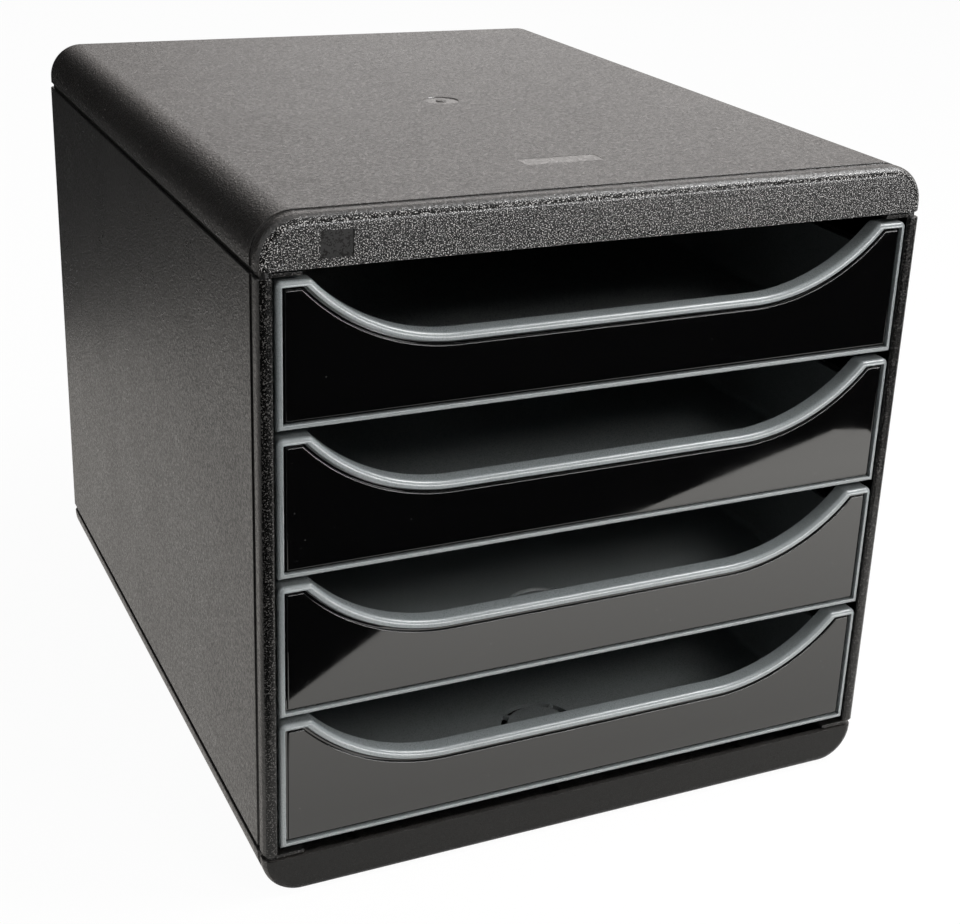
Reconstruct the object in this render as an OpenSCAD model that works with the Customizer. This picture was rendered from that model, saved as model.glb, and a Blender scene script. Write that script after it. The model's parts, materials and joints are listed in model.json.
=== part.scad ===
/* [Housing] */
// Width over the side panels
body_w = 278; // [262:1:320]
// Depth from the drawer fronts to the rear face
body_d = 350; // [330:1:400]
// Height of the top cover
cover_h = 19; // [18:0.5:26]
// Height of the base
base_h = 17; // [17:0.5:26]
// Radius of the long outer edges of cover and base
corner_r = 16; // [10:0.5:16]
// Radius where cover and base turn into their front and rear faces
end_r = 2.5; // [1:0.25:3]
// Wall of the moulded shells and panels
wall = 2.5; // [2:0.25:3]
// Height of the shadow gap that parts the panels from cover and base
shadow_h = 2.4; // [2:0.1:3]
// Depth of the shadow gap
shadow_d = 1.4; // [0.8:0.1:1.5]
// Distance of the decorative groove from the front face
groove_y = 6.3; // [5:0.1:7.5]
// Width of the groove
groove_w = 3.2; // [1:0.1:5]
// Depth of the groove
groove_d = 0.8; // [0.3:0.1:1.2]

/* [Marks on the cover] */
// Diameter of the round gate recess on the top
gate_d = 16; // [8:1:30]
// Distance of the gate recess from the middle, towards the front
gate_y = 7; // [0:1:40]
// Length of the bare name place on the top
plate_l = 34; // [15:1:60]
// Width of the bare name place on the top
plate_w = 9.6; // [5:0.2:16]
// Distance of the name place from the front face
plate_y = 49.5; // [25:0.5:80]
// Length of the bare place on the fascia
tag_l = 12.2; // [5:0.1:20]
// Height of the bare place on the fascia
tag_h = 9.8; // [4:0.1:10]
// Distance of the fascia's bare place from the side
tag_x = 22.6; // [18:0.1:60]
// Height of that place above the cover's lower edge
tag_z = 3.3; // [2:0.1:5]
// Depth of these recesses
mark_d = 0.4; // [0.2:0.1:0.8]

/* [Ribs and hooks] */
// Thickness of the ribs inside cover and base
rib_t = 1.5; // [1:0.1:2]
// Height of those ribs
rib_h = 3; // [1.5:0.5:4]
// Number of ribs that run front to rear
rib_long = 3; // [1:1:6]
// Number of ribs that run side to side
rib_cross = 4; // [1:1:8]
// Length of a snap hook
hook_l = 16; // [8:1:30]
// Height of a snap hook above the panel's flange
hook_h = 5; // [4:0.5:6]
// Thickness of a snap hook
hook_t = 1.5; // [1:0.1:2]
// Distance of the hook's outer face from the wall beside it
hook_set = 1.8; // [1.6:0.1:2.2]
// Reach of the hook's barb
barb = 0.9; // [0.6:0.1:1.2]
// Gap between hook and catch
catch_gap = 0.2; // [0.1:0.05:0.4]
// Height of the catch
catch_h = 2; // [1:0.1:2.2]

/* [Side panels] */
// Width of the rolled front edge
roll_w = 5.7; // [4.5:0.1:8]
// Depth of the rolled front edge
roll_d = 8; // [7.5:0.1:12]
// Outer radius of the rolled edge
roll_out_r = 3; // [1:0.1:4]
// Inner radius of the rolled edge
roll_in_r = 1.5; // [0.5:0.1:1.5]
// Reach of the top and bottom flanges past the rolled edge
flange_w = 10.7; // [6:0.1:16]
// Thickness of those flanges
flange_t = 1.5; // [1:0.1:1.6]
// Set-back of their front ends
flange_back = 0.8; // [0.4:0.1:3]
// Gap between a flange and the cover or base
flange_gap = 0.7; // [0.4:0.1:0.9]
// Thickness of the drawer runners
runner_t = 2; // [1.5:0.1:3]
// Clearance under the tray's flange on its runner
runner_gap = 0.3; // [0.2:0.05:0.5]
// Clearance above the tray's flange
runner_over = 0.6; // [0.3:0.1:1.2]
// Gap between the runners and the tray's side
runner_side = 0.8; // [0.5:0.1:1.5]
// Gap between the rolled edge and the runners' front ends
runner_set = 0.4; // [0.3:0.1:2]

/* [Back panel] */
// Thickness of the back panel
back_t = 2.2; // [1.5:0.1:3]
// Distance of its outer face from the rear face
back_set = 3.8; // [3.5:0.1:8]
// Depth by which it enters cover and base
back_in = 4; // [2:0.5:6]
// Clearance of the back panel in its guides
back_gap = 0.3; // [0.2:0.05:0.5]
// Thickness of the guide ribs
guide_t = 1.8; // [1.2:0.1:2.5]
// Reach of the guide ribs
guide_w = 5; // [3:0.5:8]
// Flat left on a side panel's rear edge
rear_land = 0.3; // [0.2:0.1:0.5]

/* [Drawers] */
// Distance from one drawer to the next
drawer_pitch = 58.5; // [54:0.5:75]
// Gap between two drawer fronts
between_gap = 3.2; // [2:0.1:5]
// Gap between the base and the lowest front
under_gap = 4.9; // [3.5:0.1:8]
// Gap between the highest front and the cover
over_gap = 3.8; // [3:0.1:8]
// Gap between a front and the rolled edges
front_gap = 0.9; // [0.5:0.1:2]
// Width of the frame round a front
rim_w = 2.2; // [2:0.1:4]
// Height of the lip along the swoop
lip_w = 2.95; // [2:0.05:4]
// Rounding of the frame's front edge
rim_round = 1.9; // [0.5:0.1:1.9]
// Depth of the frame and lip
lip_d = 7.4; // [6:0.1:10]
// Depth of the swoop below the top of the front
swoop_depth = 25.3; // [10:0.1:30]
// Radius of the swoop's ends
swoop_r = 76.5; // [60:0.5:110]
// Width of a shoulder beside the swoop
shoulder_w = 13; // [10:0.5:25]
// Radius of a front's upper corners
top_corner_r = 2.5; // [2:0.1:4]
// Thickness of the wall behind the insert
backing_t = 2; // [1.5:0.1:3]
// Wall of the tray
tray_wall = 1.8; // [1.2:0.1:2.5]
// Thickness of the tray's floor
floor_t = 2; // [1.2:0.1:3]
// Height of the tray's underside above the front's lower edge
tray_rise = 1; // [0.5:0.1:2]
// Height of the tray
tray_h = 40; // [32:0.5:46]
// Radius of the tray's rear corners
tray_r = 6; // [3:0.5:12]
// Gap between the tray and the back panel
tray_back_gap = 1; // [0.5:0.1:6]
// Width of the flange that slides on the runners
slide_w = 4.9; // [3:0.1:6]
// Thickness of that flange
slide_t = 2; // [1.5:0.1:3]
// Distance of the flange's top below the tray's rim
slide_below = 1; // [0.5:0.1:3]
// Distance of the flange's rear end from the tray's rear corner
slide_end = 2; // [0:0.5:30]
// Travel of a drawer
travel = 255; // [150:5:255]
// Gap left at the end of the travel
stop_gap = 0.3; // [0.2:0.1:0.5]
// Gap between the stop lug and the side panel
lug_gap = 0.9; // [0.4:0.1:1.2]
// Length of the stop lug
lug_l = 10; // [6:0.5:16]

/* [Ring in the tray floor] */
// Radius of the ring's middle line
ring_r = 15.4; // [8:0.1:25]
// Width of the ring's slots
ring_slot = 2.3; // [1:0.1:4]
// Width of the bridges that carry the disc
ring_bridge = 2; // [1:0.1:4]
// Distance of the ring's centre from the front face
ring_y = 41; // [30:1:80]

/* [Front inserts] */
// Thickness of a gloss insert
insert_t = 2; // [1.2:0.1:2.5]
// Set-back of the insert's face behind the frame's front
insert_set = 0.6; // [0.3:0.1:1]
// Gap between insert and frame
insert_gap = 0.3; // [0.2:0.1:1]
// Gap between insert and lip
insert_lip_gap = 0.9; // [0.3:0.1:2]
// Width of the step round the insert's face
insert_step = 0.5; // [0.3:0.1:0.8]

/* [Feet] */
// Diameter of a rubber foot
foot_d = 16; // [10:1:24]
// Height by which a foot stands proud of the base
foot_proud = 1; // [0.5:0.1:3]
// Depth by which a foot is let into the base
foot_in = 1.2; // [0.6:0.1:1.4]
// Clearance round a foot
foot_gap = 0.3; // [0.2:0.1:0.5]
// Rounding of a foot's lower edge
foot_r = 0.4; // [0.1:0.1:0.5]
// Distance of a foot's centre from the side
foot_x = 29; // [25:1:60]
// Distance of a foot's centre from front and rear
foot_y = 25; // [18:1:60]

/* [Hidden] */
$fn = 96;
drawer_count = 4;
hooks = 3;
over = 1;                                   // a cutter runs this far past what it cuts
half_w = body_w / 2;
front_y = -body_d / 2;
rear_y = body_d / 2;
inner_x = half_w - wall;
rear_r = min(end_r, wall - rear_land);           // a panel's outer rear edge
base_top = foot_proud + base_h;
front_h = drawer_pitch - between_gap;
cover_z = base_top + under_gap + drawer_count * drawer_pitch - between_gap + over_gap;
panel_low = base_top + shadow_h;
panel_high = cover_z - shadow_h;
bar_x = half_w - roll_w;                    // inner face of the rolled edge
front_half = bar_x - front_gap;
catch_z = catch_gap;
barb_z = catch_z + catch_h + catch_gap;
hook_top = hook_h - flange_gap;
back_front = rear_y - back_set - back_t;    // front face of the back panel
guide_front = back_front - back_gap - guide_t;
tray_half = front_half - slide_w;
tray_depth = back_front - tray_back_gap - front_y;
slide_v = tray_rise + tray_h - slide_t - slide_below;  // underside of the tray's sliding flange
slide_rear = tray_depth - tray_r - slide_end;
lug_y = roll_d + stop_gap + travel;         // front face of the stop lug
lug_x = inner_x - lug_gap;
runner_x = tray_half + runner_side;
runner_y = front_y + max(roll_d, lip_d) + runner_set;
inner_d = insert_set + insert_t;            // depth at which the backing wall starts
backing_d = inner_d + backing_t;
tray_start = inner_d + backing_t / 2;       // the tray's walls start inside the backing wall
swoop_v = front_h - swoop_depth + swoop_r;  // height of the swoop circles' centres
swoop_x = front_half - shoulder_w - sqrt(pow(swoop_r, 2) - pow(swoop_r - swoop_depth, 2));
lip_crown = 0.05;                           // the lip's rounding meets its face at a slight angle
shell_black = [0.13, 0.13, 0.14];
panel_black = [0.16, 0.16, 0.17];
tray_blue = [0.42, 0.47, 0.55];
gloss_black = [0.03, 0.03, 0.035];
rubber = [0.25, 0.25, 0.25];

// Underside of the front of drawer i, counted from the top
function drawer_z(i) = base_top + under_gap + (drawer_count - i) * drawer_pitch;

// Middle of item k of n that share a length evenly, measured from its middle
function spread(k, n, length) = length * ((k + 0.5) / n - 0.5);

// Rectangle with round corners of radius r, or sharp ones where r is 0
module round_rect(w, d, r) {
    if (r > 0) {
        square([w, d - 2 * r], center = true);
        square([w - 2 * r, d], center = true);
        for (x = [-1, 1], y = [-1, 1]) {
            translate([x * (w / 2 - r), y * (d / 2 - r)]) circle(r);
        }
    } else {
        square([w, d], center = true);
    }
}

// Its children, extruded along Y from depth y0 to y1 with their own Y upwards
module upright(y0, y1) {
    translate([0, y1, 0]) rotate([90, 0, 0]) linear_extrude(y1 - y0) children();
}

// Its children, extruded along X from x0 to x1 with X and Y turned to Y and Z
module sideways(x0, x1) {
    translate([x0, 0, 0]) rotate([90, 0, 90]) linear_extrude(x1 - x0) children();
}

// Bar over the whole housing, h high, all its outer faces set in by inset:
// upright sides, two round long edges above, and a radius at both ends.
// It reaches below its lower edge by below.
module loaf(h, inset, end_round, below = 0) {
    d = body_d - 2 * inset;
    r = corner_r - inset;
    straight = h - corner_r;
    crown_x = half_w - corner_r;
    translate([0, 0, -below]) {
        linear_extrude(straight + below) round_rect(body_w - 2 * inset, d, end_round);
    }
    translate([0, 0, straight]) {
        sideways(-crown_x, crown_x) intersection() {
            round_rect(d, 2 * r, end_round);
            translate([-d / 2, 0]) square([d, r]);
        }
        for (side = [0, 1]) {
            mirror([side, 0, 0]) translate([crown_x, 0, 0]) rotate([90, 0, 0]) {
                rotate_extrude(angle = 90) intersection() {
                    round_rect(2 * r, d, end_round);
                    translate([0, -d / 2]) square([r, d]);
                }
            }
        }
    }
}

// What the groove round the front end of cover or base takes away
module groove_cut(h) {
    upright(front_y + groove_y, front_y + groove_y + groove_w) difference() {
        translate([-half_w - over, -over]) square([body_w + 2 * over, h + 2 * over]);
        for (side = [-1, 1]) {
            translate([side * (half_w - corner_r), h - corner_r]) circle(corner_r - groove_d);
        }
        translate([-half_w + groove_d, -2 * over]) {
            square([body_w - 2 * groove_d, h - corner_r + 2 * over]);
        }
        translate([-half_w + corner_r, -2 * over]) {
            square([body_w - 2 * corner_r, h - groove_d + 2 * over]);
        }
    }
}

// Ribs under the skin: a low grid, and the sill of the back panel
module shell_ribs(h) {
    rib_z = h - wall - rib_h;
    for (k = [0 : rib_long - 1]) {
        translate([spread(k, rib_long, body_w) - rib_t / 2, front_y, rib_z]) {
            cube([rib_t, body_d, rib_h + over]);
        }
    }
    for (k = [0 : rib_cross - 1]) {
        translate([-half_w, spread(k, rib_cross, body_d) - rib_t / 2, rib_z]) {
            cube([body_w, rib_t, rib_h + over]);
        }
    }
    translate([-half_w, back_front + (back_t - rib_t) / 2, back_in]) cube([body_w, rib_t, h]);
}

// Catches on the side walls, behind which the panels' hooks snap
module catches() {
    for (side = [0, 1], k = [0 : hooks - 1]) {
        mirror([side, 0, 0]) {
            translate([inner_x - hook_set + catch_gap, spread(k, hooks, body_d) - hook_l / 2, catch_z]) {
                cube([hook_set, hook_l, catch_h]);
            }
        }
    }
}

// Shell of cover or base, h high and open below
module shell(h) {
    difference() {
        loaf(h, 0, end_r);
        difference() {
            loaf(h, wall, 0, over);
            shell_ribs(h);
            catches();
        }
        groove_cut(h);
    }
}

module top_cover() {
    color(shell_black) translate([0, 0, cover_z]) difference() {
        shell(cover_h);
        translate([0, -gate_y, cover_h - mark_d]) cylinder(d = gate_d, h = over);
        translate([-plate_l / 2, front_y + plate_y - plate_w / 2, cover_h - mark_d]) {
            cube([plate_l, plate_w, over]);
        }
        translate([-half_w + tag_x, front_y - over, tag_z]) cube([tag_l, over + mark_d, tag_h]);
    }
}

module base() {
    color(shell_black) difference() {
        translate([0, 0, base_top]) mirror([0, 0, 1]) shell(base_h);
        foot_places() cylinder(d = foot_d + 2 * foot_gap, h = foot_in);
    }
}

// Its children at the underside of the base, at each foot
module foot_places() {
    for (x = [-1, 1], y = [-1, 1]) {
        translate([x * (half_w - foot_x), y * (rear_y - foot_y), foot_proud]) children();
    }
}

// Rubber foot at x, y: round pad with a rounded lower edge, let into the base
module foot(x, y) {
    foot_t = foot_proud + foot_in;
    color(rubber) translate([x * (half_w - foot_x), y * (rear_y - foot_y), 0]) rotate_extrude() {
        square([foot_d / 2 - foot_r, foot_t]);
        translate([0, foot_r]) square([foot_d / 2, foot_t - foot_r]);
        translate([foot_d / 2 - foot_r, foot_r]) circle(foot_r);
    }
}

// Plan of the rolled front edge of the right panel
module roll_plan() {
    translate([bar_x + roll_in_r, front_y]) square([roll_w - roll_in_r - roll_out_r, roll_d]);
    translate([bar_x, front_y + roll_in_r]) square([roll_w - roll_out_r, roll_d - roll_in_r]);
    translate([half_w - roll_out_r, front_y + roll_out_r]) square([roll_out_r, roll_d - roll_out_r]);
    translate([bar_x + roll_in_r, front_y + roll_in_r]) circle(roll_in_r);
    translate([half_w - roll_out_r, front_y + roll_out_r]) circle(roll_out_r);
}

// Plan of the right panel: rolled edge, wall and the guides of the back panel
module panel_plan() {
    wall_y = front_y + roll_d;
    difference() {
        union() {
            roll_plan();
            translate([inner_x, wall_y]) square([wall, rear_y - rear_r - wall_y]);
            translate([inner_x, rear_y - rear_r]) square([wall - rear_r, rear_r]);
            translate([half_w - rear_r, rear_y - rear_r]) intersection() {
                circle(rear_r);
                square(rear_r);
            }
            for (y = [guide_front, back_front + back_t + back_gap]) {
                translate([inner_x - guide_w, y]) square([guide_w, guide_t]);
            }
        }
        translate([half_w - groove_d, front_y + groove_y]) square([groove_d + over, groove_w]);
    }
}

// Flange along the panel's lower edge, with the hooks that hold the base
module panel_flange() {
    translate([0, 0, flange_gap]) linear_extrude(flange_t) {
        translate([bar_x - flange_w, front_y + flange_back]) {
            square([flange_w, guide_front - front_y - flange_back]);
        }
        translate([bar_x, front_y + roll_d]) {
            square([inner_x - bar_x, guide_front - front_y - roll_d]);
        }
    }
    hook_x = inner_x - hook_set;
    for (k = [0 : hooks - 1]) {
        y = spread(k, hooks, body_d) - hook_l / 2;
        upright(y, y + hook_l) polygon([
            [hook_x - hook_t, flange_gap], [hook_x, flange_gap], [hook_x, -barb_z],
            [hook_x + barb, -barb_z], [hook_x, -hook_top], [hook_x - hook_t, -hook_top],
        ]);
    }
}

// Two rails between which the flange of one tray slides
module runner_pair(i) {
    flange_z = drawer_z(i) + slide_v;
    for (z = [flange_z - runner_gap - runner_t, flange_z + slide_t + runner_over]) {
        translate([runner_x, runner_y, z]) {
            cube([inner_x - runner_x, guide_front - runner_y, runner_t]);
        }
    }
}

module right_side() {
    color(panel_black) {
        translate([0, 0, panel_low]) linear_extrude(panel_high - panel_low) panel_plan();
        translate([0, 0, base_top]) linear_extrude(cover_z - base_top) intersection() {
            panel_plan();
            translate([0, front_y + shadow_d]) square([half_w - shadow_d, body_d - 2 * shadow_d]);
        }
        translate([0, 0, base_top]) panel_flange();
        translate([0, 0, cover_z]) mirror([0, 0, 1]) panel_flange();
        for (i = [1 : drawer_count]) runner_pair(i);
    }
}

module left_side() {
    mirror([1, 0, 0]) right_side();
}

module back_panel() {
    panel_w = 2 * (inner_x - back_gap);
    color(panel_black) translate([-panel_w / 2, back_front, base_top - back_in]) {
        cube([panel_w, back_t, cover_z - base_top + 2 * back_in]);
    }
}

// Area inside a drawer front, set in by rim_in and, along the swoop, by lip_in
module inner_outline(rim_in, lip_in) {
    r = swoop_r + lip_in;
    difference() {
        translate([-front_half + rim_in, rim_in]) {
            square([2 * (front_half - rim_in), front_h - 2 * rim_in]);
        }
        translate([-swoop_x, swoop_v - r]) square([2 * swoop_x, r]);
        for (side = [-1, 1]) translate([side * swoop_x, swoop_v]) circle(r);
    }
}

// Block of a front, long along X and size across, its front edges rounded
module edged_block(size) {
    translate([-size / 2, rim_round]) square([size, lip_d - rim_round]);
    translate([-size / 2 + rim_round, 0]) square([size - 2 * rim_round, rim_round]);
    for (side = [-1, 1]) translate([side * (size / 2 - rim_round), rim_round]) circle(rim_round);
}

// Full block of a front before its swoop and pockets: round upper corners, and a
// rounding along all four front edges
module front_block() {
    intersection() {
        upright(-over, lip_d + over) {
            translate([-front_half, -over]) {
                square([2 * front_half, front_h - top_corner_r + over]);
            }
            translate([-front_half + top_corner_r, 0]) {
                square([2 * (front_half - top_corner_r), front_h]);
            }
            for (side = [-1, 1]) {
                translate([side * (front_half - top_corner_r), front_h - top_corner_r]) {
                    circle(top_corner_r);
                }
            }
        }
        translate([0, 0, -over]) linear_extrude(front_h + 2 * over) edged_block(2 * front_half);
        translate([0, 0, front_h / 2]) {
            sideways(-front_half - over, front_half + over) mirror([1, -1]) edged_block(front_h);
        }
    }
}

// Half section of the swoop's cutter, X away from the swoop's centre and Y to
// the rear: it flares at the front by the rounding of the lip
module swoop_section() {
    flare = rim_round - lip_crown;
    difference() {
        union() {
            translate([0, -over]) square([swoop_r + rim_round, over + flare]);
            translate([0, flare]) square([swoop_r, lip_d + over - flare]);
        }
        translate([swoop_r + rim_round, flare]) circle(rim_round);
    }
}

// What the swoop takes out of a front: a flat middle and two quarter rounds
module swoop_cut() {
    translate([0, 0, swoop_v]) {
        mirror([0, 0, 1]) sideways(-swoop_x, swoop_x) mirror([1, -1]) swoop_section();
        for (side = [0, 1]) mirror([side, 0, 0]) translate([swoop_x, 0, 0]) {
            rotate([-90, 0, 0]) rotate_extrude(angle = 90) swoop_section();
        }
    }
}

// Front of a drawer: frame with its rounded lip, and a wall behind the insert
module drawer_front() {
    difference() {
        front_block();
        swoop_cut();
        upright(-over, inner_d) inner_outline(rim_w, lip_w);
        upright(backing_d, lip_d + over) inner_outline(rim_w, lip_w);
    }
}

// Plan of the tray, set in by inset, from depth y0 to its rear with round corners
module tray_plan(inset, y0) {
    half = tray_half - inset;
    r = tray_r - inset;
    rear = tray_depth - inset;
    translate([-half, y0]) square([2 * half, rear - r - y0]);
    translate([-half + r, rear - r]) square([2 * (half - r), r]);
    for (side = [0, 1]) mirror([side, 0]) translate([half - r, rear - r]) intersection() {
        circle(r);
        square(r);
    }
}

// Four slots round a disc in the tray's floor, parted by narrow bridges
module ring_slots() {
    translate([0, ring_y]) difference() {
        circle(ring_r + ring_slot / 2);
        circle(ring_r - ring_slot / 2);
        for (a = [45, 135]) rotate(a) square([3 * ring_r, ring_bridge], center = true);
    }
}

module tray() {
    difference() {
        translate([0, 0, tray_rise]) linear_extrude(tray_h) tray_plan(0, tray_start);
        translate([0, 0, tray_rise + floor_t]) linear_extrude(tray_h) {
            tray_plan(tray_wall, tray_start - over);
        }
        translate([0, 0, tray_rise - over]) linear_extrude(floor_t + 2 * over) ring_slots();
    }
    for (side = [0, 1]) mirror([side, 0, 0]) translate([0, 0, slide_v]) {
        translate([tray_half - tray_wall / 2, tray_start, 0]) {
            cube([slide_w + tray_wall / 2, slide_rear - tray_start, slide_t]);
        }
        linear_extrude(slide_t) polygon([
            [front_half - over, lug_y], [lug_x, lug_y], [lug_x, lug_y + lug_l / 3],
            [front_half, lug_y + lug_l], [front_half - over, lug_y + lug_l],
        ]);
    }
}

// Drawer i, counted from the top: tray and front in one piece
module drawer(i) {
    color(tray_blue) translate([0, front_y, drawer_z(i)]) {
        drawer_front();
        tray();
    }
}

// Outline of the gloss insert, set in by step from its own edge
module insert_outline(step) {
    rim_in = rim_w + insert_gap + step;
    inner_outline(rim_in, lip_w + insert_lip_gap + step);
}

// Gloss insert of drawer i, with a step round its face
module front_insert(i) {
    color(gloss_black) translate([0, front_y, drawer_z(i)]) {
        upright(insert_set + insert_step, inner_d) insert_outline(0);
        upright(insert_set, insert_set + insert_step) insert_outline(insert_step);
    }
}

module foot_front_left() {
    foot(-1, -1);
}

module foot_front_right() {
    foot(1, -1);
}

module foot_rear_left() {
    foot(-1, 1);
}

module foot_rear_right() {
    foot(1, 1);
}

top_cover();
base();
left_side();
right_side();
back_panel();
drawer(1);  // drawer_1
drawer(2);  // drawer_2
drawer(3);  // drawer_3
drawer(4);  // drawer_4
front_insert(1);  // front_insert_1
front_insert(2);  // front_insert_2
front_insert(3);  // front_insert_3
front_insert(4);  // front_insert_4
foot_front_left();
foot_front_right();
foot_rear_left();
foot_rear_right();
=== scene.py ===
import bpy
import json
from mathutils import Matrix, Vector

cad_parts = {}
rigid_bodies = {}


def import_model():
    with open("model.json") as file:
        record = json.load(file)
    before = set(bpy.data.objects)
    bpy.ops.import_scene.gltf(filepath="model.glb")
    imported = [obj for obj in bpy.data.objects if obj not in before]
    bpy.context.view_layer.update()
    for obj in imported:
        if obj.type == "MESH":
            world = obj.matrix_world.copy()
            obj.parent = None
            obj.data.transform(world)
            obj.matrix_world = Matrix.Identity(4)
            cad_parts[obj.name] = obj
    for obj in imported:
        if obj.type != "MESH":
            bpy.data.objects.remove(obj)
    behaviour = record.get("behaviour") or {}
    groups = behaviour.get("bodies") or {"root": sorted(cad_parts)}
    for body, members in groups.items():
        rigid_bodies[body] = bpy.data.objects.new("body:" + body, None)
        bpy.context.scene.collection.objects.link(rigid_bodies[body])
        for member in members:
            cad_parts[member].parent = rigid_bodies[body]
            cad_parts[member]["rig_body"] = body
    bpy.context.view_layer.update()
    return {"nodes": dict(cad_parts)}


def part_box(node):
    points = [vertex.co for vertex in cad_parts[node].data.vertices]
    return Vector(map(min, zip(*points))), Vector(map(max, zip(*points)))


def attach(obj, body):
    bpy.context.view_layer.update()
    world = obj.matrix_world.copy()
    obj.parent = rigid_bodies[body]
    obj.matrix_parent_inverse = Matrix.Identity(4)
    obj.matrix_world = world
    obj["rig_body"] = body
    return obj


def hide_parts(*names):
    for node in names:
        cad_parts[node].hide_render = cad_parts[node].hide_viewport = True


bl_info = {
    "name": "Four-drawer desk cabinet",
    "version": (1, 0, 0),
    "blender": (4, 5, 0),
    "location": "View3D > Sidebar > Cabinet",
    "description": "Builds the visible pieces of a desk cabinet with four drawers for papers",
    "category": "Object",
}

import json
import math

import bmesh
import bpy
import numpy as np
from mathutils import Matrix, Vector

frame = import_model()

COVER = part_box("top_cover")
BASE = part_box("base")
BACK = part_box("back_panel")
FRONT_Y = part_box("drawer_1")[0].y
REAR_Y = COVER[1].y
HALF_W = COVER[1].x
DRAWERS = ("drawer_1", "drawer_2", "drawer_3", "drawer_4")
FEET = ("foot_front_left", "foot_front_right", "foot_rear_left", "foot_rear_right")
FRONT_LAYER = 0.0011  # depth of the faces that take the front's own finish
OVER = 0.001          # by how much a cutter stands past the face that it cuts
SINK = 0.0006         # by how much a rib or flange sinks into its wall
SHARP = 35.0          # angle in degrees past which an edge stays sharp


# Sizes and finishes that a user may change

def number(name, description, default, low=0.0, **more):
    """A number that stays at or above a low limit."""
    return bpy.props.FloatProperty(
        name=name, description=description, default=default, min=low, **more
    )


def length(*words_and_default):
    """A size in metres, shown as a distance."""
    return number(*words_and_default, unit="LENGTH", precision=5)


def power(*words_and_default):
    """The power of a lamp."""
    return number(*words_and_default, unit="POWER")


def colour(name, description, default):
    """A colour of a finish."""
    return bpy.props.FloatVectorProperty(
        name=name, description=description, default=default, size=3, min=0.0, max=1.0,
        subtype="COLOR",
    )


class CABINET_PG_shell(bpy.types.PropertyGroup):
    corner: length("Long edge radius", "Radius of the long outer edges", 0.016)
    end: length("End radius", "Radius of the front and rear edges", 0.004)
    wall: length("Wall", "Wall of the shell", 0.0025)
    lower_edge: length("Lower edge", "Rounding of the lower outer edge", 0.0004)
    groove_from_front: length("Groove place", "Distance of the groove from the front", 0.0063)
    groove_width: length("Groove width", "Width of the groove", 0.0032)
    groove_depth: length("Groove depth", "Depth of the groove", 0.0008)
    groove_edge: length("Groove edge", "Rounding of the groove's edges", 0.00025)
    rib: length("Rib thickness", "Thickness of the ribs inside", 0.0015)
    rib_height: length("Rib height", "Height of the ribs inside", 0.003)
    gate: length("Gate width", "Diameter of the round gate recess", 0.016)
    gate_offset: length("Gate place", "Distance of that recess from the middle", 0.007)
    plate_length: length("Name place length", "Length of the bare place on the top", 0.034)
    plate_width: length("Name place width", "Width of the bare place on the top", 0.0096)
    plate_from_front: length("Name place", "Distance of that place from the front", 0.0495)
    tag_length: length("Tag length", "Length of the bare place on the fascia", 0.0122)
    tag_height: length("Tag height", "Height of the bare place on the fascia", 0.0098)
    tag_from_side: length("Tag place", "Distance of that place from the side", 0.0226)
    tag_above: length("Tag rise", "Height of that place above the rim", 0.0033)
    plate_depth: length("Name place depth", "Depth of the bare place on the top", 0.00012)
    mark_depth: length("Mark depth", "Depth of the other recesses", 0.0004)
    sill: length("Sill place", "Height of the back panel's sill above the rim", 0.0045)
    rib_from_side: length("Rib ends", "Distance of the cross ribs from the wall", 0.012)
    foot_cup: length("Foot recess", "Radius of a foot's recess", 0.0083)


class CABINET_PG_panel(bpy.types.PropertyGroup):
    wall: length("Wall", "Wall of a side panel", 0.0025)
    roll_width: length("Rolled edge width", "Width of the rolled front edge", 0.0057)
    roll_depth: length("Rolled edge depth", "Depth of the rolled front edge", 0.008)
    roll_outer: length("Outer radius", "Outer radius of the rolled edge", 0.003)
    roll_inner: length("Inner radius", "Inner radius of the rolled edge", 0.0015)
    shadow_height: length("Shadow gap height", "Gap to cover and base", 0.0024)
    shadow_depth: length("Shadow gap depth", "Depth of that gap", 0.0014)
    edge: length("Edge", "Rounding of the panel's ends", 0.0005)
    flange_width: length("Flange width", "Reach of the flanges past that edge", 0.0107)
    flange: length("Flange thickness", "Thickness of the flanges", 0.0015)
    flange_back: length("Flange set-back", "Set-back of the flanges' front ends", 0.0008)
    flange_gap: length("Flange gap", "Gap between a flange and the shell", 0.0007)
    hook_length: length("Hook length", "Length of a snap hook", 0.016)
    runner: length("Runner thickness", "Thickness of a drawer runner", 0.002)
    runner_inner: length("Runner reach", "Distance of a runner from the middle", 0.1283)
    runner_low: length("Lower runner", "Height of the lower runner above a front's lower edge", 0.0357)
    runner_high: length("Upper runner", "Height of the upper runner above a front's lower edge", 0.0406)
    runner_set: length("Runner set-back", "Distance of the runners' ends from the front", 0.0084)
    guide: length("Guide thickness", "Thickness of the guide ribs", 0.0018)
    guide_width: length("Guide reach", "Reach of the guide ribs", 0.005)
    small_edge: length("Small edges", "Rounding of ribs, runners and flanges", 0.0002)


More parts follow.
